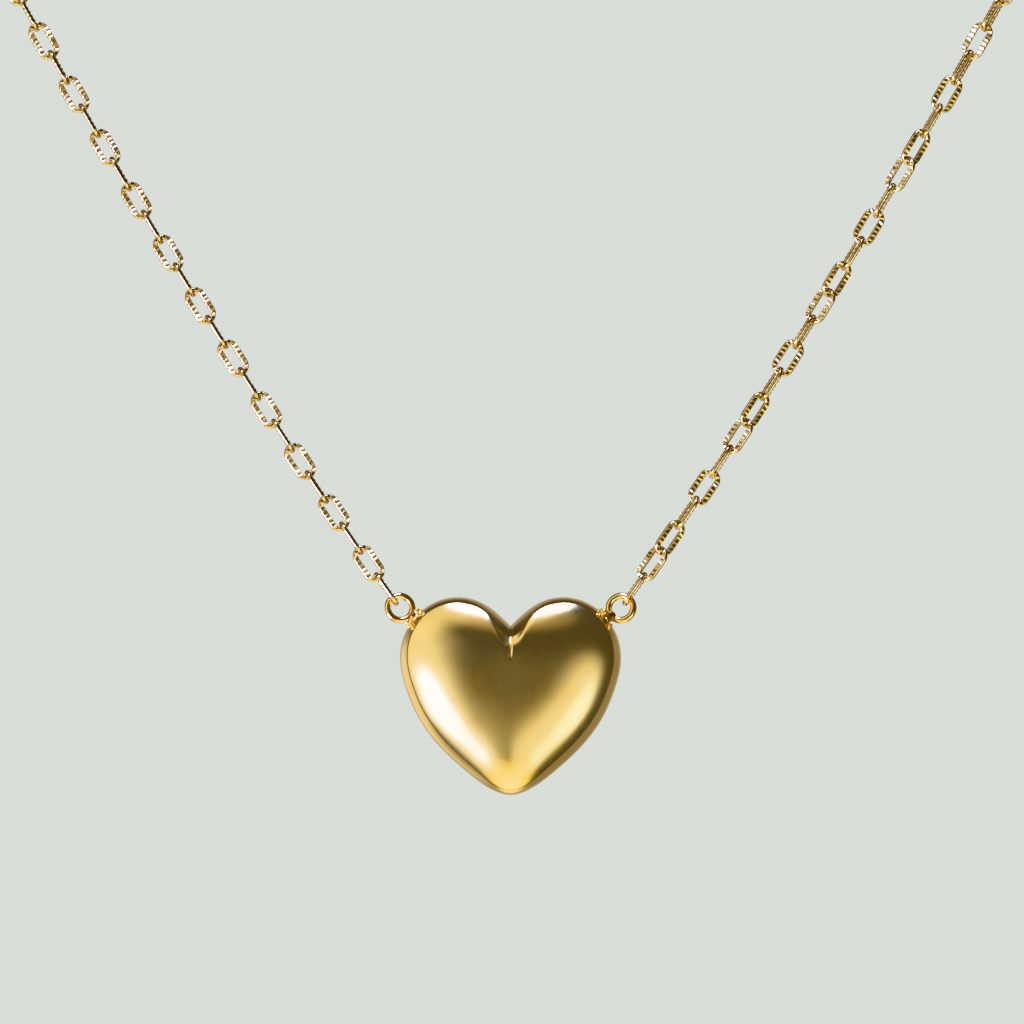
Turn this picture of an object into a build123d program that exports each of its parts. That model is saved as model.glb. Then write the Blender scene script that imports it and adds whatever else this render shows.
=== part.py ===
from build123d import *
from math import ceil, cos, hypot, radians, sin, tan
import os

os.makedirs("parts", exist_ok=True)

# Heart pendant set in line on a fine cable chain, all in gold, in millimetres.
# X runs across, Y from the breast back to the nape and Z up.
# The origin is the nape point, on the neck side of the clasp.

# Puffed heart, two thin stamped halves joined at the rim
heart_width = 15.0
heart_height = 13.4
heart_thickness = 5.5
sheet = 0.3
cleft_flank = 43.0              # slope of the cleft's sides, in degrees
crown_drop = 5.5                # from the lobe tops down to the thickest point
crown_oval_width = 6.0          # half axes of the oval that the heart fades into at its crown
crown_oval_height = 4.8
crown_fade = 1.5                # power with which the cleft's crease fades towards the crown
puff = 2.6                      # power of the dome's profile, 2 for an ellipse and more for fuller
level_angles = (0, 12, 24, 38, 52, 66, 79)

# Right half of the outline from the cleft round the lobe to the tip.
# Columns: across as a share of the half width, down as a share of the height.
ring_spot = (0.873, 0.107)      # where the ring is soldered on
outline = (
    (0.000, 0.143),
    (0.110, 0.085),
    (0.290, 0.019),
    (0.530, 0.000),
    (0.765, 0.050),
    ring_spot,
    (0.968, 0.200),
    (1.000, 0.301),
    (0.945, 0.463),
    (0.838, 0.604),
    (0.630, 0.762),
    (0.400, 0.881),
    (0.150, 0.978),
    (0.000, 1.000),
)

# Rings soldered to the lobes, facing forward
ring_outer = 2.15
ring_wire = 0.45
ring_gap = 0.12                 # from the rim to the ring's wire, filled by the solder
solder_foot = 0.62              # radius of the solder's foot on the rim
solder_top = 0.26               # its radius where it meets the ring
solder_rise = 0.36              # its height over the rim
solder_root = 0.25              # how deep its foot starts under the rim

# Flat cable links with a rectangular section and round ends
link_length = 2.9
link_width = 1.5
link_band = 0.27
link_thick = 0.32
link_play = 0.26                # slack between the inner ends of two links
wire_play = 0.2                 # slack between an end link and the wire that it holds

# Run of the chain from a ring to the clasp
route_reach = 52.7              # from the ring outward to the run's widest point
route_back = 88.3               # from the rings back to the clasp
route_rise = 112.0              # from the rings up to the clasp
chain_lean = 35.0               # angle of the chain from upright where it leaves a ring
# Points that the run passes, as shares of its reach, of its way back and of its rise
route = (
    (0.0000, 0.0000, 0.0000),
    (0.2600, 0.0000, 0.1866),
    (0.4991, 0.0000, 0.3795),
    (0.7135, 0.0170, 0.5679),
    (0.8880, 0.1076, 0.7277),
    (0.9867, 0.2775, 0.8304),
    (1.0000, 0.4983, 0.9018),
    (0.8918, 0.7135, 0.9464),
    (0.6452, 0.8800, 0.9777),
    (0.3131, 0.9740, 0.9955),
)

# Turn of the links about the run, in degrees, with 0 for a flat face turned forward.
# The left run's links lie edge on and half open in turn, and the right run is twisted near the heart.
first_turn = 72.0
edge_turn = 90.0
open_turn = 162.0
twist_turn = 72.0
plain_turn = 90.0
twisted_links = 20

# Plain barrel clasp with an eye at each end
barrel_length = 6.4
barrel_diameter = 2.2
barrel_round = 0.45
eye_outer = 2.15
eye_wire = 0.45
eye_sink = 0.15                 # how deep each eye is let into the barrel's end


def rim_points(inset):
    # Right half of the outline moved inward by the inset, with z measured from the lobe tops
    rows = [(across * heart_width / 2, -down * heart_height) for across, down in outline]
    points = [(0.0, rows[0][1] - inset / cos(radians(cleft_flank)))]
    for before, here, after in zip(rows, rows[1:], rows[2:]):
        along_x = after[0] - before[0]
        along_z = after[1] - before[1]
        length = hypot(along_x, along_z)
        points.append((here[0] + inset * along_z / length, here[1] - inset * along_x / length))
    points.append((0.0, rows[-1][1] + inset))
    return points


def level_wire(share, depth, inset):
    # Closed heart line at one depth: a share of 1 is the rim, and a small share is nearly the crown's oval
    rim = rim_points(inset)
    rounded = 1 - share ** crown_fade
    half = []
    for x, z in rim:
        up = z + crown_drop
        oval = 1 / hypot(x / (crown_oval_width - inset), up / (crown_oval_height - inset))
        scale = share * (1 - rounded + rounded * oval)
        half.append((x * scale, up * scale - crown_drop))
    flank = tan(radians(cleft_flank)) * (1 - rounded) * share * (rim[0][1] + crown_drop)
    flank = flank / (half[0][1] + crown_drop)
    rising = Vector(1, 0, flank).normalized()
    falling = Vector(1, 0, -flank).normalized()
    tip = Vector(-1, 0, 0)
    right = Edge.make_spline([Vector(x, depth, z) for x, z in half], tangents=[rising, tip], scale=False)
    left = Edge.make_spline([Vector(-x, depth, z) for x, z in half[::-1]], tangents=[tip, falling], scale=False)
    return Wire([right, left])


def puffed_form(inset):
    # Closed pillow form through its levels, from the back crown over the rim to the front crown
    half_thickness = heart_thickness / 2 - inset
    levels = []
    for angle in level_angles:
        levels.append((cos(radians(angle)) ** (2 / puff), half_thickness * sin(radians(angle))))
    back = [level_wire(share, depth, inset) for share, depth in levels[:0:-1]]
    front = [level_wire(share, -depth, inset) for share, depth in levels]
    back_crown = Vertex(0, half_thickness, -crown_drop)
    front_crown = Vertex(0, -half_thickness, -crown_drop)
    return Solid.make_loft([back_crown, *back, *front, front_crown])


def wire_ring(outer, wire, outward, cross):
    # Round wire ring at the origin, lying in the plane of the two directions
    return Plane(origin=(0, 0, 0), x_dir=outward, z_dir=outward.cross(cross)) * Torus((outer - wire) / 2, wire / 2)


def ring_seat():
    # Point of the right rim where the ring is soldered, and the outward direction there
    row = outline.index(ring_spot)
    before, here, after = rim_points(0)[row - 1:row + 2]
    outward = Vector(before[1] - after[1], 0, after[0] - before[0]).normalized()
    return Vector(here[0], 0, here[1]), outward


def turned_normal(along, facing, turn):
    # Direction square to a link's flat face, once the link is turned about the run
    across = facing.cross(along)
    return facing * cos(radians(turn)) - across * sin(radians(turn))


lean = Vector(sin(radians(chain_lean)), 0, cos(radians(chain_lean)))
forward = Vector(0, -1, 0)
seat, outward = ring_seat()
ring_centre = seat + outward * (ring_outer / 2 + ring_gap)
first_normal = turned_normal(lean, forward, first_turn)
ring_face = outward.cross(first_normal).normalized()
pull = (lean - ring_face * lean.dot(ring_face)).normalized()
ring_contact = ring_centre + pull * (ring_outer - ring_wire) / 2

# The clasp's centre, and the point where the right eye's wire is held
clasp_centre = Vector(0, barrel_diameter / 2, 0)
eye_centre = clasp_centre + Vector(barrel_length / 2 - eye_sink + eye_outer / 2, 0, 0)
eye_contact = eye_centre + Vector((eye_outer - eye_wire) / 2, 0, 0)

# Place of the heart's lobe tops, so that the run ends at the clasp
heart_place = Vector(0, eye_contact.Y - route_back - ring_contact.Y, eye_contact.Z - route_rise - ring_contact.Z)


def heart_ring():
    # Right ring with its drop of solder
    ring = Pos(*ring_centre) * wire_ring(ring_outer, ring_wire, outward, first_normal)
    foot = Plane(origin=seat - outward * solder_root, z_dir=outward)
    align = (Align.CENTER, Align.CENTER, Align.MIN)
    return ring + foot * Cone(solder_foot, solder_top, solder_rise + solder_root, align=align)


def heart():
    right = heart_ring()
    return puffed_form(0) + right + mirror(right, about=Plane.YZ) - puffed_form(sheet)


def chain_run():
    # Right run from the ring's contact point to the clasp's eye
    start = ring_contact + heart_place
    points = [start + Vector(out * route_reach, back * route_back, up * route_rise) for out, back, up in route]
    return Edge.make_spline([*points, eye_contact], tangents=[lean, Vector(-1, 0, 0)], scale=False)


def left_turn(index):
    if index == 0:
        return first_turn
    return open_turn if index % 2 else edge_turn


def right_turn(index):
    twisted = min(index, twisted_links)
    return first_turn + twisted * twist_turn + (index - twisted) * plain_turn


def link_places(side):
    # Plane of each link of one run from the heart to the clasp, with X along the run and Z square to its face
    run = chain_run()
    inner_length = link_length - 2 * link_band
    start_gap = inner_length / 2 - ring_wire / 2 - wire_play
    end_gap = inner_length / 2 - eye_wire / 2 - wire_play
    steps = ceil((run.length - start_gap - end_gap) / (inner_length - link_play))
    pitch = (run.length - start_gap - end_gap) / steps
    facing = forward
    places = []
    for index in range(steps + 1):
        share = (start_gap + index * pitch) / run.length
        along = run % share
        facing = (facing - along * facing.dot(along)).normalized()
        turn = right_turn(index) if side > 0 else left_turn(index)
        places.append(Plane(origin=run @ share, x_dir=along, z_dir=turned_normal(along, facing, turn)))
    print(f"run {run.length:.1f} mm, {len(places)} links at a pitch of {pitch:.3f} mm")
    return places


def link():
    # One flat link lying in XY, with its length along X
    outer = SlotOverall(link_length, link_width)
    inner = SlotOverall(link_length - 2 * link_band, link_width - 2 * link_band)
    return extrude(outer - inner, amount=link_thick / 2, both=True)


def chain(places):
    one = link()
    return Compound([place * one for place in places])


def clasp(left_end, right_end):
    # Barrel with its eyes, each turned square to the end link that it holds
    barrel = Rot(0, 90, 0) * Cylinder(barrel_diameter / 2, barrel_length)
    barrel = Pos(*clasp_centre) * fillet(barrel.edges(), barrel_round)
    across = Vector(1, 0, 0)
    left_eye = Pos(*eye_centre) * wire_ring(eye_outer, eye_wire, across, left_end.z_dir)
    right_eye = Pos(*eye_centre) * wire_ring(eye_outer, eye_wire, across, right_end.z_dir)
    return barrel + mirror(left_eye, about=Plane.YZ) + right_eye


left_places = link_places(-1)
right_places = link_places(1)
export_step(Pos(*heart_place) * heart(), "parts/heart.step")
export_step(mirror(chain(left_places), about=Plane.YZ), "parts/chain_left.step")
export_step(chain(right_places), "parts/chain_right.step")
export_step(clasp(left_places[-1], right_places[-1]), "parts/clasp.step")
print(f"swing axis at y {ring_contact.Y + heart_place.Y:.3f} z {ring_contact.Z + heart_place.Z:.3f}")
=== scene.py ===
import bpy
import math
import numpy as np
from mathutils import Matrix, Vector, noise


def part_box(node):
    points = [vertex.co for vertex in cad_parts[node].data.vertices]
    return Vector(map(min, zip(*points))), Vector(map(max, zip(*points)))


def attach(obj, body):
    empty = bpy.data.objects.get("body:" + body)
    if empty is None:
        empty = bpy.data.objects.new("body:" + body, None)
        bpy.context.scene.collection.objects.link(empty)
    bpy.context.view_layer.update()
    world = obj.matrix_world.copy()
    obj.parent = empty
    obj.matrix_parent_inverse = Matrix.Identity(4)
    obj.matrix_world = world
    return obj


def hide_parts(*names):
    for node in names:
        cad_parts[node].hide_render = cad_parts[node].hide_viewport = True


# Gold puffed heart held in line on a fine diamond-cut cable chain.
# Lengths in the dictionaries are millimetres, the scene is in metres.

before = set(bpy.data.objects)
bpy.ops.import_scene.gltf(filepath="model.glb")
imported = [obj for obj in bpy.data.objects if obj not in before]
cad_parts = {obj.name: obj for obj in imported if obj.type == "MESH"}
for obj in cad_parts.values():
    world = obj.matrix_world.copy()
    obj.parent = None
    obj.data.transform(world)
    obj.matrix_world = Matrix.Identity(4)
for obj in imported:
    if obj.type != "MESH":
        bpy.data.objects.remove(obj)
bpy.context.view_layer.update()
mm = 0.001
dice = np.random.default_rng(7)
print("frame loaded")


def unit(v):
    v = np.array(v, float)
    return v / np.linalg.norm(v)


def turns(count):
    # angles of evenly spaced points round a circle
    return [2 * math.pi * k / count for k in range(count)]


def makePiece(name, verts, faces, finish, body, slot, flat=None):
    # verts in millimetres, flat lists the faces that keep their own plane
    mesh = bpy.data.meshes.new(name)
    mesh.from_pydata([tuple(v) for v in np.asarray(verts) * mm], [], faces)
    mesh.shade_smooth()
    if flat is not None:
        mesh.polygons.foreach_set("use_smooth", np.logical_not(flat))
    mesh.materials.append(finish)
    mesh.update()
    piece = bpy.data.objects.new(name, mesh)
    bpy.context.scene.collection.objects.link(piece)
    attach(piece, body)
    return piece


def joined(parts):
    # several closed (verts, faces) as one, each turned to face outward
    verts, faces, start = [], [], 0
    for v, f in parts:
        v = np.asarray(v, float)
        fans = np.array([(face[0], face[k], face[k + 1]) for face in f for k in range(1, len(face) - 1)])
        volume = np.einsum("ij,ij", v[fans[:, 0]], np.cross(v[fans[:, 1]], v[fans[:, 2]]))
        step = 1 if volume > 0 else -1
        verts.append(v)
        faces += [tuple(i + start for i in face[::step]) for face in f]
        start += len(v)
    return np.vstack(verts), faces


def closedGrid(rows, cols, wrapRows=True):
    # quads between rows of points, the columns always close on themselves
    faces = []
    for r in range(rows if wrapRows else rows - 1):
        a, b = r * cols, (r + 1) % rows * cols
        for c in range(cols):
            d = (c + 1) % cols
            faces.append((a + c, a + d, b + d, b + c))
    return faces


def cappedGrid(rows, cols):
    # rows that don't close, with one more point before the first row and one after the last
    faces = closedGrid(rows, cols, wrapRows=False)
    first, last = rows * cols, (rows - 1) * cols
    for c in range(cols):
        d = (c + 1) % cols
        faces.append((first, d, c))
        faces.append((first + 1, last + c, last + d))
    return faces


def smoothRun(points, first, last, steps):
    # smooth curve through the points, with set directions at both ends
    p = np.array(points, float)
    gap = np.linalg.norm(np.diff(p, axis=0), axis=1)
    count = len(p)
    lhs = np.zeros((count, count))
    rhs = np.zeros_like(p)
    lhs[0, 0] = lhs[-1, -1] = 1
    rhs[0], rhs[-1] = first, last
    for i in range(1, count - 1):
        g, h = gap[i - 1], gap[i]
        lhs[i, i - 1:i + 2] = h, 2 * (g + h), g
        rhs[i] = 3 * (h * (p[i] - p[i - 1]) / g + g * (p[i + 1] - p[i]) / h)
    slope = np.linalg.solve(lhs, rhs)
    out = []
    for i in range(count - 1):
        for k in range(steps):
            t = k / steps
            out.append((2 * t**3 - 3 * t**2 + 1) * p[i] + (t**3 - 2 * t**2 + t) * gap[i] * slope[i]
                       + (3 * t**2 - 2 * t**3) * p[i + 1] + (t**3 - t**2) * gap[i] * slope[i + 1])
    out.append(p[-1])
    return np.array(out)


goldLook = {
    "heart": {
        "light": (1.0, 0.77, 0.33), "deep": (0.97, 0.70, 0.26), "patchSize": 2.4,
        "gloss": 0.185, "glossSpread": 0.015, "pitSize": 0.16, "pitDepth": 0.0015, "scratch": 0.0006,
    },
    # the same gold as the heart, its colour darkened as painted shade; the patches differ at random
    "chain": {
        "light": (0.80, 0.62, 0.32), "deep": (0.46, 0.28, 0.10), "patchSize": 0.9,
        "gloss": 0.1, "glossSpread": 0.04, "pitSize": 0.07, "pitDepth": 0.003, "scratch": 0.002,
    },
    "ring": {
        "light": (1.0, 0.76, 0.32), "deep": (0.92, 0.54, 0.17), "patchSize": 0.8,
        "gloss": 0.12, "glossSpread": 0.04, "pitSize": 0.1, "pitDepth": 0.003, "scratch": 0.0015,
    },
    "solder": {
        "light": (1.0, 0.83, 0.25), "deep": (0.94, 0.60, 0.14), "patchSize": 0.5,
        "gloss": 0.3, "glossSpread": 0.05, "pitSize": 0.12, "pitDepth": 0.002, "scratch": 0.0005,
    },
    # dark brown grains of solder, one beside each ring
    "burnt": {
        "light": (0.34, 0.19, 0.06), "deep": (0.16, 0.08, 0.02), "patchSize": 0.3,
        "gloss": 0.34, "glossSpread": 0.06, "pitSize": 0.1, "pitDepth": 0.003, "scratch": 0.0005,
    },
}

# the same for every gold: the part of each noise that is used, and how strongly the bumps act
goldGrain = {
    "tint": (0.35, 0.75), "gloss": (0.3, 0.7), "pit": (0.04, 0.22),
    "pitStrength": 0.35, "scratchStrength": 0.5, "scratchStretch": (1, 1, 0.08),
}


def goldFinish(name, look):
    finish = bpy.data.materials.new(name)
    finish.use_nodes = True
    nodes, links = finish.node_tree.nodes, finish.node_tree.links
    gold = nodes["Principled BSDF"]
    gold.inputs["Metallic"].default_value = 1.0
    place = nodes.new("ShaderNodeTexCoord")

    def speckle(size, detail, stretch=(1, 1, 1)):
        turn = nodes.new("ShaderNodeMapping")
        turn.inputs["Scale"].default_value = stretch
        links.new(place.outputs["Object"], turn.inputs["Vector"])
        tex = nodes.new("ShaderNodeTexNoise")
        tex.inputs["Scale"].default_value = 1 / (size * mm)
        tex.inputs["Detail"].default_value = detail
        links.new(turn.outputs["Vector"], tex.inputs["Vector"])
        return tex.outputs["Fac"]

    def spread(value, used, toLow, toHigh):
        ramp = nodes.new("ShaderNodeMapRange")
        ramp.inputs["From Min"].default_value, ramp.inputs["From Max"].default_value = used
        ramp.inputs["To Min"].default_value = toLow
        ramp.inputs["To Max"].default_value = toHigh
        links.new(value, ramp.inputs["Value"])
        return ramp.outputs["Result"]

    def bump(height, strength, depth):
        raised = nodes.new("ShaderNodeBump")
        raised.inputs["Strength"].default_value = strength
        raised.inputs["Distance"].default_value = depth * mm
        links.new(height, raised.inputs["Height"])
        return raised

    patches = speckle(look["patchSize"], 3)
    tint = nodes.new("ShaderNodeMix")
    tint.data_type = "RGBA"
    tint.inputs["A"].default_value = (*look["light"], 1)
    tint.inputs["B"].default_value = (*look["deep"], 1)
    links.new(spread(patches, goldGrain["tint"], 0, 1), tint.inputs["Factor"])
    links.new(tint.outputs["Result"], gold.inputs["Base Color"])

    fine = speckle(look["pitSize"] * 2, 4)
    glossLow, glossHigh = look["gloss"] - look["glossSpread"], look["gloss"] + look["glossSpread"]
    links.new(spread(fine, goldGrain["gloss"], glossLow, glossHigh), gold.inputs["Roughness"])

    pits = nodes.new("ShaderNodeTexVoronoi")
    pits.inputs["Scale"].default_value = 1 / (look["pitSize"] * mm)
    links.new(place.outputs["Object"], pits.inputs["Vector"])
    pitHeight = spread(pits.outputs["Distance"], goldGrain["pit"], 0, 1)
    pitBump = bump(pitHeight, goldGrain["pitStrength"], look["pitDepth"])
    scratches = speckle(look["pitSize"], 3, goldGrain["scratchStretch"])
    scratchBump = bump(scratches, goldGrain["scratchStrength"], look["scratch"])
    links.new(pitBump.outputs["Normal"], scratchBump.inputs["Normal"])
    links.new(scratchBump.outputs["Normal"], gold.inputs["Normal"])
    return finish


heartGold = goldFinish("satinHeartGold", goldLook["heart"])
shadedChainGold = goldFinish("shadedCutChainGold", goldLook["chain"])
ringGold = goldFinish("bentRingGold", goldLook["ring"])
solderGold = goldFinish("yellowSolder", goldLook["solder"])
darkGrainGold = goldFinish("burntSolder", goldLook["burnt"])

# puffed heart, a steep side band all round and a soft dome inside its shoulder
heart = {
    "width": 15.0, "height": 13.4, "thickness": 5.5,
    "cleftFlank": 43.0, "crownDrop": 5.5, "crownWidth": 6.0, "crownHeight": 4.8,
    # inset and depth of the side band from the rim to the shoulder, and its slope there
    "side": ((0, 0), (0.03, 0.25), (0.12, 0.58), (0.30, 0.97), (0.54, 1.34)),
    "sideEnd": 1.45,
    "domeFull": 4.1,     # higher for a flatter top
    "domeLevels": 44, "domeCrowd": 1.25,     # and how much the levels crowd towards the shoulder
    "sideSteps": 4, "steps": 15,
    "cleftLift": 1.0, "liftReach": 1.9,     # the shoulder stands higher beside the cleft
    # width of the side band at each point of the outline, as a share of its full width
    "bandShare": (1.30, 1.00, 0.66, 0.58, 0.60, 0.68, 0.82, 0.93, 0.96, 1.00, 1.06, 1.00, 0.74, 0.70),
    "valley": 0.3, "valleyWide": 0.13, "valleyLong": 4.8,     # thin crease from the cleft into the dome
    # right half from the cleft round the lobe to the tip, in shares of the half width and of the height
    "outline": (
        (0.000, 0.143), (0.110, 0.085), (0.290, 0.019), (0.530, 0.000), (0.765, 0.050),
        (0.873, 0.107), (0.968, 0.200), (1.000, 0.301), (0.945, 0.463), (0.838, 0.604),
        (0.630, 0.762), (0.400, 0.881), (0.150, 0.978), (0.000, 1.000),
    ),
    "ringSpot": 5,     # the point of the outline that carries the ring
}
heartLow, heartHigh = (np.array(c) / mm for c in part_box("heart"))
heartTop = np.array([0, (heartLow[1] + heartHigh[1]) / 2, heartLow[2] + heart["height"]])
halfOutline = [(a * heart["width"] / 2, -d * heart["height"]) for a, d in heart["outline"]]


def movedOutline(inset):
    # right half of the outline moved inward
    share = heart["bandShare"]
    rows = [(0.0, halfOutline[0][1] - inset * share[0])]
    for i in range(1, len(halfOutline) - 1):
        along = unit(np.subtract(halfOutline[i + 1], halfOutline[i - 1])) * inset * share[i]
        rows.append((halfOutline[i][0] + along[1], halfOutline[i][1] - along[0]))
    rows.append((0.0, halfOutline[-1][1] + inset * share[-1]))
    return rows


def heartLevel(moved):
    # closed heart line at a distance from the rim, down the side band and then fading to the crown's oval
    drop, band = heart["crownDrop"], heart["side"][-1][0]
    rim = movedOutline(min(moved, band))
    dome = 1 - max(moved - band, 0) / (heart["width"] / 2 - band)
    soft = (1 - dome) ** 2 * (1 + 2 * dome)
    half = []
    for x, z in rim:
        up = z + drop
        oval = 1 / math.hypot(x / heart["crownWidth"], up / heart["crownHeight"])
        scale = dome * (1 - soft + soft * oval)
        half.append((x * scale, up * scale - drop))
    flank = math.tan(math.radians(heart["cleftFlank"])) * max(1 - moved / band, 0)
    right = smoothRun(half, unit((1, flank)), (-1, 0), heart["steps"])
    return np.vstack([right, right[-2:0:-1] * [-1, 1]])


def heartLevels():
    # inset and depth of each level of the side, then distance from the rim and share of the way up the dome
    side = smoothRun(heart["side"], (0, 1), unit((1, heart["sideEnd"])), heart["sideSteps"])
    inner = heart["side"][-1][0]
    dome = [(k / heart["domeLevels"]) ** heart["domeCrowd"] for k in range(1, heart["domeLevels"])]
    return side, [(inner + (heart["width"] / 2 - inner) * u, u) for u in dome]


def creaseDip(line, share):
    # how deep the thin crease between the lobes is along one level line
    near = np.clip(np.abs(line[:, 0]) / heart["valleyWide"], 0, 1)
    upper = line[:, 1] > -heart["crownDrop"]
    return heart["valley"] * share * (1 + np.cos(np.pi * near)) / 2 * upper


def heartForm():
    side, dome = heartLevels()
    rim = heartLevel(0)
    near = np.exp(-(rim[:, 0] / heart["liftReach"]) ** 2)
    lift = heart["cleftLift"] * near * (rim[:, 1] > -heart["crownDrop"])
    band, low = heart["side"][-1]
    rise = heart["thickness"] / 2 - low - lift
    lines = []
    for moved, depth in side:
        line = heartLevel(moved)
        lines.append((line, depth * (1 + lift / low) - creaseDip(line, moved / band)))
    for moved, u in dome:
        line = heartLevel(moved)
        full = 1 - (1 - u) ** heart["domeFull"]
        fade = max(0, 1 - (moved - band) / heart["valleyLong"])
        lines.append((line, low + lift + rise * full - creaseDip(line, fade)))
    rows = [np.c_[line[:, 0], depth, line[:, 1]] for line, depth in lines[::-1]]
    rows += [np.c_[line[:, 0], -depth, line[:, 1]] for line, depth in lines[1:]]
    crown = [(0, s * heart["thickness"] / 2, -heart["crownDrop"]) for s in (1, -1)]
    return np.vstack([*rows, crown]), cappedGrid(len(rows), len(rows[0]))


def ringForm(outer, wire, outward, cross, around=72, section=20):
    # round wire bent to a ring in the plane of the two directions
    a, b = unit(outward), unit(cross)
    b = unit(b - a * a.dot(b))
    n = np.cross(a, b)
    verts = []
    for t in turns(around):
        radial = a * math.cos(t) + b * math.sin(t)
        for s in turns(section):
            reach = (outer - wire) / 2 + wire / 2 * math.cos(s)
            verts.append(radial * reach + n * wire / 2 * math.sin(s))
    return np.array(verts), closedGrid(around, section)


# flat cable link with round ends, its faces cut across with a diamond tool
link = {
    "length": 2.72, "width": 1.53, "sideBand": 0.42, "endBand": 0.29, "thick": 0.36,
    "arms": 0.42,     # share of the way round that the straight arms take
    "corner": 0.08, "bulge": 0.02, "edgeGap": 0.026,     # the edges round off just under the deepest cut
    "cuts": 19, "cutDepth": 0.06, "cutFlank": 0.75, "cutJitter": 0.2, "roll": 1.5,
    "lie": {"chain_left": (14,), "chain_right": (-7, -2, 2, 7, 0) * 4},     # turn of the first links
}


def stadiumPoint(length, width, share):
    # point at a share of the way round a slot shape, every part taking the same share in all sizes
    straight, r = (length - width) / 2, width / 2
    arms = link["arms"]
    share %= 1
    flip = 1 if share < 0.5 else -1
    u = (share % 0.5) * 2
    if u < arms:
        return flip * np.array([straight * (1 - 2 * u / arms), r])
    a = math.pi / 2 + math.pi * (u - arms) / (1 - arms)
    return flip * np.array([-straight + r * math.cos(a), r * math.sin(a)])


def cutStations():
    # places round one link with the depth of the cut there, each link with its own spacing
    cuts = link["cuts"]
    jitter = dice.uniform(-0.5, 0.5, (3, cuts)) * link["cutJitter"]
    crests = (np.arange(cuts) + jitter[0]) / cuts
    nextCrests = np.append(crests[1:], crests[0] + 1)
    valleys = crests + (nextCrests - crests) * (0.5 + jitter[1])
    depths = link["cutDepth"] * (1 + 2 * jitter[2])
    stations = []
    for crest, valley, nextCrest, deep in zip(crests, valleys, nextCrests, depths):
        flank = deep * link["cutFlank"]
        stations += [(crest, 0.0), ((crest + valley) / 2, flank)]
        stations += [(valley, deep), ((valley + nextCrest) / 2, flank)]
    return stations


def linkForm():
    # one link in XY, its long way along X
    stations = cutStations()
    half, c, bulge = link["thick"] / 2, link["corner"], link["bulge"]
    low = half - link["cutDepth"] * (1 + link["cutJitter"]) - link["edgeGap"]
    innerLength, innerWidth = link["length"] - 2 * link["endBand"], link["width"] - 2 * link["sideBand"]
    verts = []
    for share, cut in stations:
        outer = stadiumPoint(link["length"], link["width"], share)
        inner = stadiumPoint(innerLength, innerWidth, share)
        across = outer - inner
        band = np.linalg.norm(across)
        across /= band
        top = half - cut
        section = ((0, 0), (bulge, low), (c, top), (band - c, top), (band - bulge, low),
                   (band, 0), (band - bulge, -low), (band - c, -top), (c, -top), (bulge, -low))
        for r, z in section:
            verts.append((*(inner + across * r), z))
    cutSides = (2, 7)     # front and back of the section, where the cuts keep sharp edges
    flat = [k in cutSides for _ in stations for k in range(len(section))]
    return np.array(verts), closedGrid(len(stations), len(section)), flat


def looseLinks(node):
    # corners of the triangles of each link in the chain's solids
    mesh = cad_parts[node].data
    co = np.zeros(len(mesh.vertices) * 3)
    mesh.vertices.foreach_get("co", co)
    co = co.reshape(-1, 3) / mm
    spots, same = np.unique(np.round(co, 4), axis=0, return_inverse=True)
    same = same.ravel()
    mesh.calc_loop_triangles()
    tris = np.zeros(len(mesh.loop_triangles) * 3, int)
    mesh.loop_triangles.foreach_get("vertices", tris)
    tris = same[tris.reshape(-1, 3)]
    label = np.arange(len(spots))
    while True:
        least = label[tris].min(axis=1)
        fresh = label.copy()
        for k in range(3):
            np.minimum.at(fresh, tris[:, k], least)
        fresh = fresh[fresh]
        if (fresh == label).all():
            break
        label = fresh
    groups = label[tris[:, 0]]
    return [spots[tris[groups == group]] for group in np.unique(groups)]


def linkPlace(p):
    # centre, long way and face normal of one link, from how its surface is spread
    area = np.linalg.norm(np.cross(p[:, 1] - p[:, 0], p[:, 2] - p[:, 0]), axis=1) / 2
    centre = (p.mean(axis=1) * area[:, None]).sum(axis=0) / area.sum()
    q = p - centre
    total = q.sum(axis=1)
    spread = sum(np.einsum("n,ni,nj->ij", area, q[:, k], q[:, k]) for k in range(3))
    spread += np.einsum("n,ni,nj->ij", area, total, total)
    axes = np.linalg.eigh(spread)[1]
    return centre, axes[:, 2], axes[:, 0]


def linkRun(node):
    # centre, run direction and face normal of each link, from the heart upward
    places = [linkPlace(p) for p in looseLinks(node)]

    def takeNearest(spot):
        return places.pop(int(np.argmin([np.linalg.norm(p[0] - spot) for p in places])))

    ordered = [takeNearest(heartTop * [0, 1, 1])]
    while places:
        ordered.append(takeNearest(ordered[-1][0]))
    run = []
    for i, (centre, along, face) in enumerate(ordered):
        ahead = ordered[min(i + 1, len(ordered) - 1)][0] - ordered[max(i - 1, 0)][0]
        run.append((centre, along * np.sign(along.dot(ahead)), face))
    return run


def chainForm(places, lie):
    # a new link at each place, the first ones turned as lie says and all of them a little unevenly
    parts, flat = [], []
    for i, (centre, along, face) in enumerate(places):
        verts, faces, plane = linkForm()
        lying = lie[i] if i < len(lie) else 0
        roll = math.radians(lying + dice.normal(0, link["roll"]))
        across = np.cross(face, along)
        normal = face * math.cos(roll) + across * math.sin(roll)
        parts.append((centre + verts @ np.array([along, np.cross(normal, along), normal]), faces))
        flat += plane
    return *joined(parts), flat


leftPlaces = linkRun("chain_left")
rightPlaces = linkRun("chain_right")
print("links", len(leftPlaces), len(rightPlaces))
for name, places in (("chain_left", leftPlaces), ("chain_right", rightPlaces)):
    verts, faces, flat = chainForm(places, link["lie"][name])
    piece = makePiece("cut_" + name, verts, faces, shadedChainGold, "chain", "chain_gold", flat)
    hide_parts(name)

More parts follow.
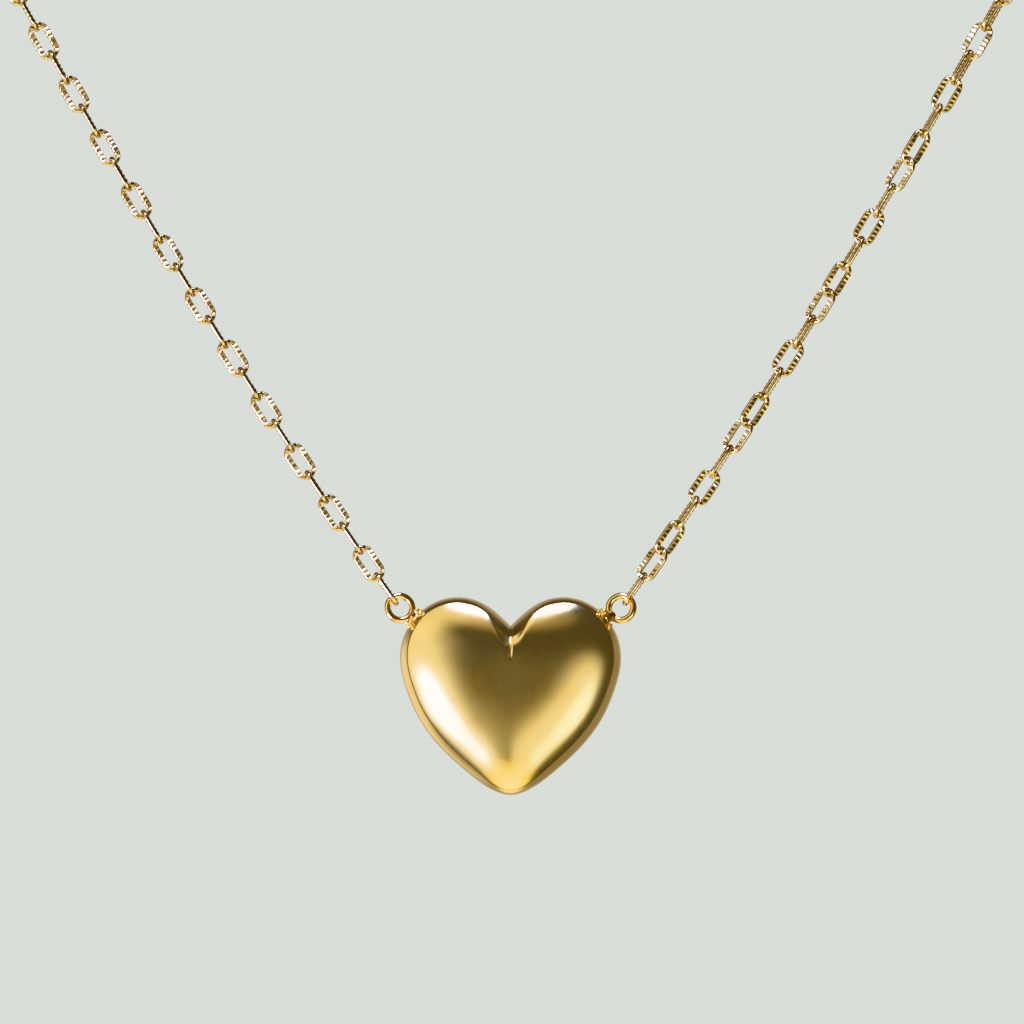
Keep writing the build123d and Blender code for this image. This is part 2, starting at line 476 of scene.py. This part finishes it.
# rings stand between their seat on the rim and the first link, held by grains of solder
ring = {"outer": 2.15, "wire": 0.45, "gap": 0.12}
solder = {
    # flared foot: radius on the rim and at the ring, height, depth under the rim, unevenness
    "foot": 0.5, "top": 0.22, "rise": 0.4, "root": 0.3, "cap": 0.05, "lump": 0.04,
    "thick": 0.15, "rough": 0.08,     # half the depth of the grains, and their unevenness
    "waves": 2.5,     # of the unevenness, in a millimetre
    # grains of the left and the right ring: across, down from the lobe tops, forward, size
    "left": (
        (6.36, 0.90, 0.28, 0.19), (6.08, 0.96, 0.22, 0.17), (6.36, 1.36, 0.36, 0.20),
        (7.00, 1.66, 0.26, 0.19), (6.84, 1.94, 0.20, 0.20),
    ),
    "right": (
        (6.08, 0.88, 0.20, 0.17), (6.34, 0.98, 0.34, 0.20), (6.24, 1.22, 0.34, 0.16),
        (6.50, 1.50, 0.34, 0.17), (6.80, 1.90, 0.18, 0.14),
    ),
    # the dark brown grains beside the left and the right ring, in the same columns
    "burntLeft": ((6.62, 1.24, 0.30, 0.22),),
    "burntRight": ((6.78, 1.28, 0.32, 0.36),),
}


def unevenness(spot):
    return noise.noise(Vector(spot * solder["waves"]))


def lumpForm(centre, size):
    # small uneven grain, flattened towards the front
    rows, cols = 12, 24
    ball = []
    for r in range(rows):
        a = math.pi * (r + 1) / (rows + 1)
        for s in turns(cols):
            ball.append((math.sin(a) * math.cos(s), math.sin(a) * math.sin(s), math.cos(a)))
    ball += [(0, 0, 1), (0, 0, -1)]
    verts = []
    for v in ball:
        spoke = np.array(v) * [size, solder["thick"], size]
        spot = spoke + centre
        verts.append(spot + spoke * solder["rough"] * unevenness(spot))
    return np.array(verts), cappedGrid(rows, cols)


def solderForm(seat, outward):
    # flared foot from the rim up to the ring, slightly lumpy
    a = unit(outward)
    side = unit(np.cross(a, [0, 1, 0]))
    other = np.cross(a, side)
    verts = []
    rows, cols = 9, 24
    for r in range(rows):
        t = r / (rows - 1)
        radius = solder["top"] + (solder["foot"] - solder["top"]) * (1 - t) ** 2
        up = -solder["root"] + t * (solder["rise"] + solder["root"])
        for s in turns(cols):
            way = side * math.cos(s) + other * math.sin(s)
            p = seat + a * up + way * radius
            verts.append(p + way * (unevenness(p) * solder["lump"]))
    verts += [seat - a * solder["root"], seat + a * (solder["rise"] + solder["cap"])]
    return np.array(verts), cappedGrid(rows, cols)


def grains(side, name):
    return [lumpForm(heartTop + np.array([side * across, -forward, -down]), size)
            for across, down, forward, size in solder[name]]


def ringParts(side, places):
    # ring, solder and dark brown grains of one side
    spot = heart["ringSpot"]
    before, here, after = halfOutline[spot - 1:spot + 2]
    outward = unit((side * (before[1] - after[1]), 0, after[0] - before[0]))
    seat = heartTop + np.array([side * here[0], 0, here[1]])
    centre = seat + outward * (ring["outer"] / 2 + ring["gap"])
    verts, faces = ringForm(ring["outer"], ring["wire"], outward, places[0][2])
    hand = "Left" if side < 0 else "Right"
    drops = [solderForm(seat, outward), *grains(side, hand.lower())]
    return (verts + centre, faces), drops, grains(side, "burnt" + hand)


heartVerts, heartFaces = heartForm()
leftRing, leftDrops, leftDarkGrains = ringParts(-1, leftPlaces)
rightRing, rightDrops, rightDarkGrains = ringParts(1, rightPlaces)
for name, parts, finish in (("puffed_heart", [(heartVerts + heartTop, heartFaces)], heartGold),
                            ("pendant_rings", [leftRing, rightRing], ringGold),
                            ("solder_drops", leftDrops + rightDrops, solderGold),
                            ("burnt_solder", leftDarkGrains + rightDarkGrains, darkGrainGold)):
    piece = makePiece(name, *joined(parts), finish, "heart", "heart_gold")
    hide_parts("heart")
print("heart made")

# plain barrel clasp at the nape, its eyes square to the end links
clasp = {"length": 6.4, "diameter": 2.2, "round": 0.45, "eye": 2.15, "eyeWire": 0.45, "eyeSink": 0.15}
claspLow, claspHigh = (np.array(c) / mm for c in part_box("clasp"))
claspMid = (claspLow + claspHigh) / 2


def barrelForm():
    half, radius, r = clasp["length"] / 2, clasp["diameter"] / 2, clasp["round"]
    bend = np.radians(np.linspace(0, 90, 9))
    ends = [(half - r + r * math.cos(a), radius - r + r * math.sin(a)) for a in bend]
    rows = [(-x, y) for x, y in ends] + [(x, y) for x, y in ends[::-1]]
    cols = 64
    verts = [(x, y * math.cos(s), y * math.sin(s)) for x, y in rows for s in turns(cols)]
    verts += [(-half, 0, 0), (half, 0, 0)]
    return np.array(verts) + claspMid, cappedGrid(len(rows), cols)


parts = [barrelForm()]
for side, places in ((-1, leftPlaces), (1, rightPlaces)):
    verts, faces = ringForm(clasp["eye"], clasp["eyeWire"], (side, 0, 0), places[-1][2])
    reach = clasp["length"] / 2 - clasp["eyeSink"] + clasp["eye"] / 2
    parts.append((verts + claspMid + [side * reach, 0, 0], faces))
piece = makePiece("barrel_clasp", *joined(parts), shadedChainGold, "chain", "clasp_gold")
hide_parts("clasp")
print("clasp made")

# round paper far below, fading out at its rim
floorPaper = {
    "drop": 225.0, "centre": (-190, -60), "radius": 430.0, "fade": 180.0,
    "tint": (0.93, 0.95, 0.90), "rough": 0.9,
}


def paleFinish():
    finish = bpy.data.materials.new("palePaper")
    finish.use_nodes = True
    nodes, links = finish.node_tree.nodes, finish.node_tree.links
    paper = nodes["Principled BSDF"]
    paper.inputs["Base Color"].default_value = (*floorPaper["tint"], 1)
    paper.inputs["Roughness"].default_value = floorPaper["rough"]
    place = nodes.new("ShaderNodeTexCoord")
    far = nodes.new("ShaderNodeVectorMath")
    far.operation = "LENGTH"
    links.new(place.outputs["Object"], far.inputs[0])
    fade = nodes.new("ShaderNodeMapRange")
    fade.interpolation_type = "SMOOTHSTEP"
    fade.inputs["From Min"].default_value = (floorPaper["radius"] - floorPaper["fade"]) * mm
    fade.inputs["From Max"].default_value = floorPaper["radius"] * mm
    links.new(far.outputs["Value"], fade.inputs["Value"])
    clear = nodes.new("ShaderNodeBsdfTransparent")
    blend = nodes.new("ShaderNodeMixShader")
    links.new(fade.outputs["Result"], blend.inputs["Fac"])
    links.new(paper.outputs["BSDF"], blend.inputs[1])
    links.new(clear.outputs["BSDF"], blend.inputs[2])
    links.new(blend.outputs["Shader"], nodes["Material Output"].inputs["Surface"])
    return finish


def makeFloor():
    # rings of quads round a fan of triangles
    radius, cols = floorPaper["radius"], 96
    radii = (radius / 3, radius * 2 / 3, radius)
    verts = [(0, 0, 0)] + [(r * math.cos(t), r * math.sin(t), 0) for r in radii for t in turns(cols)]
    faces = [(0, 1 + c, 1 + (c + 1) % cols) for c in range(cols)]
    for k in range(len(radii) - 1):
        a, b = 1 + k * cols, 1 + (k + 1) * cols
        for c in range(cols):
            d = (c + 1) % cols
            faces.append((a + c, b + c, b + d, a + d))
    mesh = bpy.data.meshes.new("floor")
    mesh.from_pydata([tuple(np.array(v) * mm) for v in verts], [], faces)
    mesh.materials.append(paleFinish())
    floor = bpy.data.objects.new("floor", mesh)
    x, y = floorPaper["centre"]
    floor.location = Vector((x, y, heartLow[2] - floorPaper["drop"])) * mm
    bpy.context.scene.collection.objects.link(floor)
    floor.visible_glossy = False     # the metal mirrors the soft air instead


def wayFrom(angle, phi):
    # direction from the heart, angle from the camera's way, phi from the right round to the top
    a, p = math.radians(angle), math.radians(phi)
    return Vector((math.sin(a) * math.cos(p), -math.cos(a), math.sin(a) * math.sin(p)))


# oval lights that the metal mirrors as soft white patches
lights = {
    "keyLeft": {
        "angle": 55, "phi": -150, "distance": 330, "wide": 195, "high": 175,
        "bright": 17.0, "colour": (0.80, 1.02, 2.2),
    },
    "topBox": {
        "angle": 76, "phi": 90, "distance": 380, "wide": 190, "high": 160,
        "bright": 10.0, "colour": (0.80, 1.02, 2.4),
    },
}


def softLight(name, look):
    # bright is the light's own brightness, whatever its size
    way = wayFrom(look["angle"], look["phi"])
    wide, high = look["wide"] * mm, look["high"] * mm
    light = bpy.data.lights.new(name, "AREA")
    light.shape = "ELLIPSE"
    light.size, light.size_y = wide, high
    light.energy = look["bright"] * math.pi * math.pi / 4 * wide * high
    light.color = look["colour"]
    lamp = bpy.data.objects.new(name, light)
    bpy.context.scene.collection.objects.link(lamp)
    target = Vector(heartTop * mm) - Vector((0, 0, heart["crownDrop"] * mm))
    lamp.location = target + way * look["distance"] * mm
    lamp.rotation_mode = "QUATERNION"
    lamp.rotation_quaternion = (-way).to_track_quat("-Z", "Y")
    lamp.visible_camera = False
    lamp.visible_diffuse = False     # the paper is lit by the air alone


# what the metal mirrors: a dark room in front, pale paper behind and soft glows of bounced light
air = {
    "seen": (0.74, 0.77, 0.73),     # the plain air that the camera sees
    "room": (0.095, 0.090, 0.100), "behind": (0.32, 0.285, 0.255),
    "overhead": (0.08, 0.07, 0.065), "farPaper": (0.52, 0.47, 0.44),
    # where one tone goes over into the next: along which way, from where to where
    "behindToOverhead": ("Z", 0.1, 0.6), "backToFarPaper": ("Y", 0.72, 1),
    "frontToRoom": ("Y", -0.28, 0), "roomToBack": ("Y", 0.08, 0.32),
}
frontGlows = {
    "left": {"angle": 60, "phi": -172, "reach": 54, "colour": (1.13, 1.07, 0.83)},
    "nearest": {"angle": 14, "phi": -75, "reach": 19, "colour": (0.055, 0.048, 0.022)},
    "nearLow": {"angle": 34, "phi": -115, "reach": 36, "colour": (0.22, 0.20, 0.13)},
    "below": {"angle": 70, "phi": -92, "reach": 40, "colour": (2.80, 2.50, 0.60)},
    "lowRight": {"angle": 41, "phi": -38, "reach": 36, "colour": (1.10, 1.05, 0.88)},
    "lowRightCore": {"angle": 52, "phi": -36, "reach": 17, "colour": (1.90, 2.40, 3.00)},
    "above": {"angle": 47, "phi": 84, "reach": 24, "colour": (0.26, 0.22, 0.13)},
    "topLeft": {"angle": 72, "phi": 120, "reach": 44, "colour": (0.85, 0.80, 0.58)},
}
rimGlows = {
    "tip": {"angle": 84, "phi": -90, "reach": 34, "colour": (0.95, 0.90, 0.15)},
}
backGlows = {
    "left": {"angle": 130, "phi": -160, "reach": 35, "colour": (0.72, 0.67, 0.56)},
    "tip": {"angle": 125, "phi": -90, "reach": 24, "colour": (1.40, 1.22, 0.60)},
}


def makeAir():
    world = bpy.data.worlds.new("studioAir")
    bpy.context.scene.world = world
    world.use_nodes = True
    nodes, links = world.node_tree.nodes, world.node_tree.links
    place = nodes.new("ShaderNodeTexCoord")
    apart = nodes.new("ShaderNodeSeparateXYZ")
    links.new(place.outputs["Generated"], apart.inputs["Vector"])

    def soften(value, low, high):
        ramp = nodes.new("ShaderNodeMapRange")
        ramp.interpolation_type = "SMOOTHSTEP"
        ramp.inputs["From Min"].default_value = low
        ramp.inputs["From Max"].default_value = high
        links.new(value, ramp.inputs["Value"])
        return ramp.outputs["Result"]

    def plain(name):
        tone = nodes.new("ShaderNodeRGB")
        tone.outputs["Color"].default_value = (*air[name], 1)
        return tone.outputs["Color"]

    def addGlows(under, glows):
        for glow in glows.values():
            facing = nodes.new("ShaderNodeVectorMath")
            facing.operation = "DOT_PRODUCT"
            facing.inputs[1].default_value = wayFrom(glow["angle"], glow["phi"])
            links.new(place.outputs["Generated"], facing.inputs[0])
            rim = math.cos(math.radians(glow["reach"]))
            added = nodes.new("ShaderNodeMix")
            added.data_type = "RGBA"
            added.blend_type = "ADD"
            added.inputs["B"].default_value = (*glow["colour"], 1)
            links.new(soften(facing.outputs["Value"], rim, 1), added.inputs["Factor"])
            links.new(under, added.inputs["A"])
            under = added.outputs["Result"]
        return under

    def goOver(under, over, change):
        way, start, end = air[change]
        further = nodes.new("ShaderNodeMix")
        further.data_type = "RGBA"
        links.new(soften(apart.outputs[way], start, end), further.inputs["Factor"])
        links.new(under, further.inputs["A"])
        links.new(over, further.inputs["B"])
        return further.outputs["Result"]

    back = goOver(plain("behind"), plain("overhead"), "behindToOverhead")
    back = goOver(addGlows(back, backGlows), plain("farPaper"), "backToFarPaper")
    front = addGlows(plain("room"), frontGlows)
    mirror = addGlows(goOver(front, plain("room"), "frontToRoom"), rimGlows)
    mirror = goOver(mirror, back, "roomToBack")
    seen = nodes["Background"]
    seen.inputs["Color"].default_value = (*air["seen"], 1)
    mirrored = nodes.new("ShaderNodeBackground")
    links.new(mirror, mirrored.inputs["Color"])
    either = nodes.new("ShaderNodeMixShader")
    path = nodes.new("ShaderNodeLightPath")
    links.new(path.outputs["Is Glossy Ray"], either.inputs["Fac"])
    links.new(seen.outputs["Background"], either.inputs[1])
    links.new(mirrored.outputs["Background"], either.inputs[2])
    links.new(either.outputs["Shader"], nodes["World Output"].inputs["Surface"])


# straight view from the front, with the heart low in the picture
shot = {
    "lens": 250.0, "sensor": 36, "frameWide": 69.5, "aimAcross": 0.10, "aimOverTop": 5.803,
    "clip": (0.01, 20),     # in metres
}


def makeCamera():
    camera = bpy.data.cameras.new("camera")
    camera.lens = shot["lens"]
    camera.sensor_width = shot["sensor"]
    camera.clip_start, camera.clip_end = shot["clip"]
    eye = bpy.data.objects.new("camera", camera)
    bpy.context.scene.collection.objects.link(eye)
    away = shot["frameWide"] * shot["lens"] / shot["sensor"]
    eye.location = Vector((shot["aimAcross"], heartTop[1] - away, heartTop[2] + shot["aimOverTop"])) * mm
    eye.rotation_euler = (math.pi / 2, 0, 0)
    bpy.context.scene.camera = eye


for name, look in lights.items():
    softLight(name, look)
makeAir()
makeFloor()
makeCamera()
bpy.context.scene.view_settings.view_transform = "Khronos PBR Neutral"
print("studio lit")

print("scene ready")
